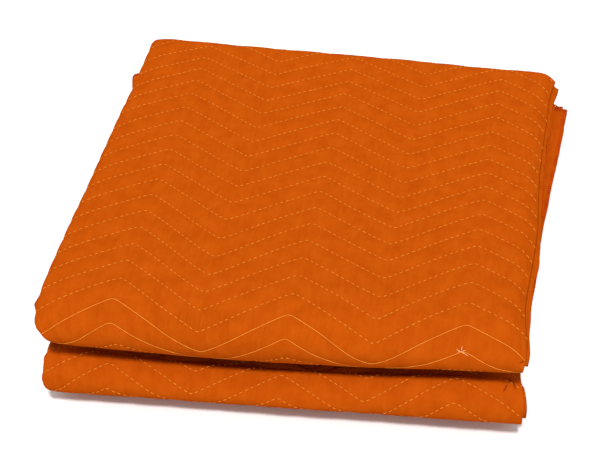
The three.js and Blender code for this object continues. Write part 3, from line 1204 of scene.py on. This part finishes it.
@dataclass
class NodeGraph:
    """A small helper that adds and links the nodes of one material."""

    material: bpy.types.Material

    def node(self, kind: str, output: str | int, inputs: dict[str | int, object], **values: object) -> Socket:
        """Adds a node.

        Args:
            kind: type of the node.
            output: which output is wanted.
            inputs: a socket to link or a value to set, for each input.
            values: properties to set.

        Returns:
            The output.
        """
        node = self.material.node_tree.nodes.new(kind)
        for key, value in values.items():
            setattr(node, key, value)
        for key, value in inputs.items():
            if isinstance(value, Socket):
                self.link(value, node.inputs[key])
            else:
                node.inputs[key].default_value = value
        return node.outputs[output]

    def link(self, source: Socket, target: Socket) -> None:
        """Links one socket to another."""
        self.material.node_tree.links.new(source, target)

    def attribute(self, name: str, output: str = "Fac") -> Socket:
        """Reads an attribute of the mesh."""
        return self.node("ShaderNodeAttribute", output, {}, attribute_name=name)

    def stretched(self, vector: Socket, share: float) -> Socket:
        """Scales a vector along the cloth, so that a texture of it is drawn out."""
        return self.node("ShaderNodeMapping", "Vector", {"Vector": vector, "Scale": (1.0, share, 1.0)})

    def noise(self, vector: Socket, scale: float, detail: float, rough: float) -> Socket:
        """Adds a noise texture and returns its factor."""
        inputs = {"Vector": vector, "Scale": scale, "Detail": detail, "Roughness": rough}
        return self.node("ShaderNodeTexNoise", "Fac", inputs)

    def ramp(self, factor: Socket, low: float, high: float) -> Socket:
        """Maps a factor from low..high to 0..1 and holds it there."""
        inputs = {"Value": factor, "From Min": low, "From Max": high}
        return self.node("ShaderNodeMapRange", "Result", inputs, clamp=True)

    def times(self, one: Socket, other: Socket | float) -> Socket:
        """Multiplies a factor by another one or by a number."""
        return self.node("ShaderNodeMath", 0, {0: one, 1: other}, operation="MULTIPLY")

    def tint(self, factor: Socket, below: Socket | Colour, above: Colour) -> Socket:
        """Mixes from one colour to another by a factor."""
        start = below if isinstance(below, Socket) else (*below, 1)
        return self.node("ShaderNodeMix", 2, {0: factor, 6: start, 7: (*above, 1)}, data_type="RGBA")

    def bump(self, height: Socket, distance: float, strength: float, before: Socket | None = None) -> Socket:
        """Adds a bump, on top of an earlier one if that is given."""
        earlier = {} if before is None else {"Normal": before}
        inputs = {"Height": height, "Distance": distance, "Strength": strength, **earlier}
        return self.node("ShaderNodeBump", "Normal", inputs)


def matt_material(name: str, roughness: float) -> tuple[NodeGraph, bpy.types.ShaderNode]:
    """Makes a material without gloss, from a Principled shader.

    Args:
        name: name of the material.
        roughness: its roughness.

    Returns:
        The graph and the shader.
    """
    material = bpy.data.materials.new(name)
    material.use_nodes = True
    shader = material.node_tree.nodes["Principled BSDF"]
    shader.inputs["Roughness"].default_value = roughness
    shader.inputs["Specular IOR Level"].default_value = 0.0
    return NodeGraph(material), shader


@dataclass(frozen=True)
class ClothFinish:
    """Matt orange non-woven cloth over soft wadding."""

    name: str
    colour: Colour = (0.42, 0.0665, 0.0022)
    # The deep colour is a darker tone for the mottling, and is also used as painted shade in the hollows of the
    # puckers
    deep: Colour = (0.365, 0.053, 0.0015)
    light: Colour = (0.465, 0.082, 0.004)
    edge: Colour = (0.44, 0.05, 0.002)
    roughness: float = 0.55

    def material(self) -> bpy.types.Material:
        """Makes the material: mottled and streaked colour, darker along the stitched rows, redder cut edges,
        painted shade in the hollows of the fine puckers, and fibres and puckers as bump.

        Returns:
            The material.
        """
        graph, shader = matt_material(self.name, self.roughness)
        flat = graph.attribute("flat_place", "Vector")
        seam = graph.attribute("seam")
        gathers_and_shade = graph.attribute("gathers_and_shade")
        mottle = graph.noise(flat, 55, 4, 0.6)
        streak = graph.noise(graph.stretched(flat, 0.22), 190, 3, 0.55)
        pleat = graph.noise(graph.stretched(flat, 0.13), 175, 2, 0.55)
        fibre = graph.noise(flat, 1500, 2, 0.6)
        colour = graph.tint(graph.ramp(mottle, 0.36, 0.66), self.deep, self.colour)
        colour = graph.tint(graph.times(graph.ramp(streak, 0.45, 0.75), 0.4), colour, self.light)
        colour = graph.tint(graph.times(graph.ramp(fibre, 0.5, 0.8), 0.35), colour, self.deep)
        colour = graph.tint(graph.times(seam, 0.3), colour, self.deep)
        # Painted shade: where the fine puckers are, the low parts of the pleat noise are darkened towards the deep
        # colour
        painted_pucker_shade = graph.times(graph.ramp(pleat, 0.52, 0.34), graph.times(gathers_and_shade, 0.8))
        colour = graph.tint(painted_pucker_shade, colour, self.deep)
        colour = graph.tint(graph.times(graph.attribute("cut_edge"), 0.8), colour, self.edge)
        graph.link(colour, shader.inputs["Base Color"])
        pucker = graph.times(graph.noise(flat, 260, 2, 0.5), seam)
        normal = graph.bump(graph.noise(flat, 90, 3, 0.5), 0.0012, 0.35)
        normal = graph.bump(pucker, 0.0009, 0.6, normal)
        normal = graph.bump(graph.times(pleat, gathers_and_shade), 0.008, 0.8, normal)
        normal = graph.bump(fibre, 0.00025, 0.5, normal)
        graph.link(normal, shader.inputs["Normal"])
        return graph.material


@dataclass(frozen=True)
class ThreadFinish:
    """Spun polyester thread, with a little change of colour along it."""

    name: str
    colour: Colour
    deep: Colour
    roughness: float = 0.5

    def material(self) -> bpy.types.Material:
        """Makes the material: two close colours by fine noise, and a twist as bump.

        Returns:
            The material.
        """
        graph, shader = matt_material(self.name, self.roughness)
        place = graph.node("ShaderNodeTexCoord", "Object", {})
        tone = graph.ramp(graph.noise(place, 130, 2, 0.5), 0.35, 0.65)
        graph.link(graph.tint(tone, self.deep, self.colour), shader.inputs["Base Color"])
        twist = graph.noise(place, 2600, 1, 0.5)
        graph.link(graph.bump(twist, 0.0002, 0.4), shader.inputs["Normal"])
        return graph.material


@dataclass
class Studio:
    """A plain pale floor, soft light from all round, and the camera at the photograph's angle."""

    eye: tuple[float, float, float] = (178.617, -1159.70, 1182.68)
    elevation: float = 44.159
    yaw: float = -10.173
    roll: float = 2.6
    lens: float = 84.0
    sensor: float = 36.0
    floor_size: float = 30000.0
    floor_height: float = -0.2
    floor_shade: float = 0.82
    dome: float = 0.7
    key: float = 3.0
    key_elevation: float = 69.0
    key_spread: float = 9.0

    def camera(self) -> None:
        """Places the camera: it looks down by the elevation, turned by the yaw, and rolled about its own axis."""
        e, a, r = (math.radians(angle) for angle in (self.elevation, self.yaw, self.roll))
        ahead = np.array([math.sin(a) * math.cos(e), math.cos(a) * math.cos(e), -math.sin(e)])
        level = np.array([math.cos(a), -math.sin(a), 0.0])
        down = np.cross(ahead, level)
        right = math.cos(r) * level + math.sin(r) * down
        lower = -math.sin(r) * level + math.cos(r) * down
        data = bpy.data.cameras.new("camera")
        data.lens = self.lens
        data.sensor_width = self.sensor
        data.clip_start, data.clip_end = 0.05, 50
        camera = add_object("camera", data)
        matrix = np.eye(4)
        matrix[:3] = np.column_stack([right, -lower, -ahead, np.array(self.eye) * METRES])
        camera.matrix_world = Matrix(matrix)
        bpy.context.scene.camera = camera

    def floor(self) -> None:
        """Makes the floor, a square sheet of matt paper under the stack."""
        corners = np.array([[-1, -1], [1, -1], [1, 1], [-1, 1]]) * self.floor_size / 2
        points = np.column_stack([corners, np.full(4, self.floor_height)])
        mesh = build_mesh("floor", points, [np.array([[0, 1, 2, 3]])])
        graph, shader = matt_material("pale_floor", 0.9)
        shader.inputs["Base Color"].default_value = (*[self.floor_shade] * 3, 1)
        mesh.materials.append(graph.material)
        add_object("floor", mesh)

    def lights(self) -> None:
        """Makes the light: a white dome, and a soft distant lamp above and behind the camera."""
        world = bpy.data.worlds.new("dome")
        world.use_nodes = True
        background = world.node_tree.nodes["Background"]
        background.inputs["Color"].default_value = (1, 1, 1, 1)
        background.inputs["Strength"].default_value = self.dome
        bpy.context.scene.world = world
        data = bpy.data.lights.new("front_lamp", "SUN")
        data.energy = self.key
        data.angle = math.radians(self.key_spread)
        lamp = add_object("front_lamp", data)
        lamp.rotation_euler = (math.radians(90 - self.key_elevation), 0, math.radians(-self.yaw))
        bpy.context.scene.view_settings.view_transform = "Standard"

    def build(self) -> None:
        """Makes the camera, the floor and the light."""
        self.camera()
        self.floor()
        self.lights()


@dataclass(frozen=True)
class ThreadFinishes:
    """The threads of a blanket: in its rows, along its long cut edges, along its cut ends and in the tuft."""

    row: ThreadFinish = ThreadFinish("row_thread", (0.78, 0.265, 0.034), (0.68, 0.2, 0.022))
    side: ThreadFinish = ThreadFinish("side_thread", (0.42, 0.055, 0.004), (0.36, 0.03, 0.003))
    end: ThreadFinish = ThreadFinish("end_thread", (0.2, 0.012, 0.004), (0.08, 0.008, 0.004))
    tuft: ThreadFinish = ThreadFinish("tuft_thread", (0.9, 0.5, 0.24), (0.85, 0.4, 0.15))


@dataclass
class DressedBlanket:
    """One blanket with its cloth, its stitched rows and its overlocked edges."""

    blanket: FoldedBlanket
    node: str
    seen_from: float
    seen_to: float
    zones: list[Zone]
    underside: bool = False
    loose_rows: tuple[int, ...] = ()
    rests_on: tuple[str, ...] = ()
    tuft: tuple[tuple[float, ...], ...] = ()
    tuft_radius: float = 0.3
    ticks: tuple[tuple[float, ...], ...] = ()
    tick_radius: float = 0.38

    def build(self, cloth: ClothFinish, threads: ThreadFinishes) -> None:
        """Args:
            cloth: finish of the sheet.
            threads: finishes of its threads.
        """
        sheet = QuiltedSheet(self.blanket, self.zones).build(cloth)
        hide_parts(self.node)
        blanket = self.blanket
        rows = RowStitching(blanket, self.seen_from, self.seen_to, self.underside, loose_rows=self.loose_rows)
        sewn = [
            rows.build(threads.row),
            EdgeThread(blanket, "side_thread", (Side.FIRST_SIDE, Side.LAST_SIDE)).build(threads.side),
            EdgeThread(blanket, "end_thread", (Side.FIRST_END, Side.LAST_END)).build(threads.end),
        ]
        if self.loose_rows:
            sewn.append(LooseThread(blanket, self.loose_rows).build(threads.row))
        if self.tuft:
            sewn.append(LooseEnds(blanket, "tuft", np.array(self.tuft), self.tuft_radius).build(threads.tuft))
        if self.ticks:
            sewn.append(LooseEnds(blanket, "ticks", np.array(self.ticks), self.tick_radius).build(threads.end))


def upper_blanket() -> DressedBlanket:
    """The upper blanket, seen from its front fold over the whole top to its back fold.

    Returns:
        The blanket, with all its sizes.
    """
    blanket = FoldedBlanket(
        name="upper_blanket",
        base=BLANKET_HEIGHT + STACK_GAP,
        front=-264,
        front_tilt=0.03,
        round_off=60,
        first_row=-252,
        lay=UPPER_LAY,
        rise=1.0,
        slot=(7.0, 12.0, 32.0, 60.0, 110.0),
        sagging=-1,
        slot_right=0.5,
        droop=0.6,
        bulges=((-262.0, 30.0, 8.0), (-95.0, 55.0, 4.8), (215.0, 22.0, 6.0)),
        ridge=(-30.0, 9.0, 1.3),
        gathering=0.85,
        corner=(12.0, 11.0),
        ear=20.0,
        sway=(1.2, 3.2),
        squeeze=(0.010, 0.013),
        pulls=[
            Pull(-93, 4.8, 38, 2.6, 12.5),
            Pull(181, 6.2, 60, 2.6, -9.5),
            Pull(-2, 0, 60, 2.8, 7.5),
            Pull(89, 2.5, 35, 2.2, 4.0),
            Pull(-93, 2.2, 30, 1.3, -3.0),
            Pull(181, -1.5, 55, 2.6, 10.5),
            Pull(-185, -1, 60, 1.6, 4),
            Pull(-185, 18, 45, 1.6, 8),
            Pull(-2, 18, 45, 1.8, 6),
            Pull(181, 15.4, 50, 1.2, -5),
        ],
        creases=[
            Crease(-152, -28, -13, 0.9, 2.2, -0.85),
            Crease(-142, -30, -17, 0.8, 2.0, -0.7),
            Crease(-34, -13, 3, 1.1, 2.2),
            Crease(-30, 12, 55, 0.9, 3.2, -0.42),
            Crease(60, -35, -12, 2.0, 2.4, -0.11),
            Crease(144, 13, 44, 1.1, 3.0, -0.37),
            Crease(165, 4, 32, 1.2, 2.6, -0.2),
            Crease(177, 22, 38, 0.9, 2.4, 0.2),
            Crease(182, -28, -4, 1.3, 2.6, 0.15),
            Crease(-263, -12, 5, -2.2, 6.0),
        ],
    )
    p = blanket.skin(blanket.places)
    return DressedBlanket(
        blanket,
        "upper_blanket",
        seen_from=p[1] - 20,
        seen_to=p[4] + 10,
        zones=zones_between(
            [0, p[1] - 40, p[3] + 30, p[4] + 30, p[5] - 30, p[6] + 50, p[7]],
            [WIDE_STATIONS, CLOSE_STATIONS, EVEN_STATIONS, WIDE_STATIONS, HALF_STATIONS, WIDE_STATIONS],
        ),
        loose_rows=(0, 1),
        rests_on=("lower_blanket",),
        tuft=(
            (179, -28, 3, -2, 0.6),
            (179, -28, -2.5, -1, 0.7),
            (179, -27, 0.5, 4, 0.8),
            (180, -28, 3, 1, 0.5),
            (178, -28, -3, 1.5, 0.4),
            (181, -29, 5, -3, 0.3),
        ),
        ticks=((234, -34, 3, 3.5, 0.4),),
    )


def lower_blanket() -> DressedBlanket:
    """The lower blanket, seen at its front fold, its back fold and its underside.

    Returns:
        The blanket, with all its sizes.
    """
    blanket = FoldedBlanket(
        name="lower_blanket",
        base=0,
        front=-278,
        front_tilt=0.026,
        round_off=47,
        first_row=-256,
        lay=LOWER_LAY,
        rise=0.45,
        slot=(-10.5, 28.6, 42.0, 80.0, 140.0),
        sagging=1,
        bulges=((-278.0, 27.0, 13.0),),
        creases=[
            Crease(-265, -42, -26, -1.8, 5.0),
            Crease(-265, -66, -52, -1.5, 5.0),
            Crease(-262, -16, -2, -1.2, 6.0),
        ],
        undercut=(7.0, 25.0),
        row_slant=-0.026,
        sway=(-3.8, -3.8),
    )
    p = blanket.skin(blanket.places)
    run = [WIDE_STATIONS, EVEN_STATIONS]
    return DressedBlanket(
        blanket,
        "lower_blanket",
        seen_from=p[1] - 20,
        seen_to=p[2] + 40,
        zones=zones_between(
            [0, p[1] - 40, p[2] + 110, p[3] - 20, p[4] + 60, p[5] - 30, p[6] + 50, p[7]],
            [HALF_STATIONS, CLOSE_STATIONS, *run, *run, WIDE_STATIONS],
        ),
        underside=True,
        rests_on=("floor",),
        ticks=((220, -15, 4, 7, 0.4), (228, -4, 1, 8, 0.4), (232, -10, -2, 6, 0.4)),
    )


def main() -> None:
    """Builds the studio and both blankets."""
    logging.basicConfig(level=logging.INFO, format="%(message)s")
    Studio().build()
    for dressed in (lower_blanket(), upper_blanket()):
        dressed.build(ClothFinish(f"{dressed.node}_orange_cloth"), ThreadFinishes())


if __name__ == "__main__":
    main()
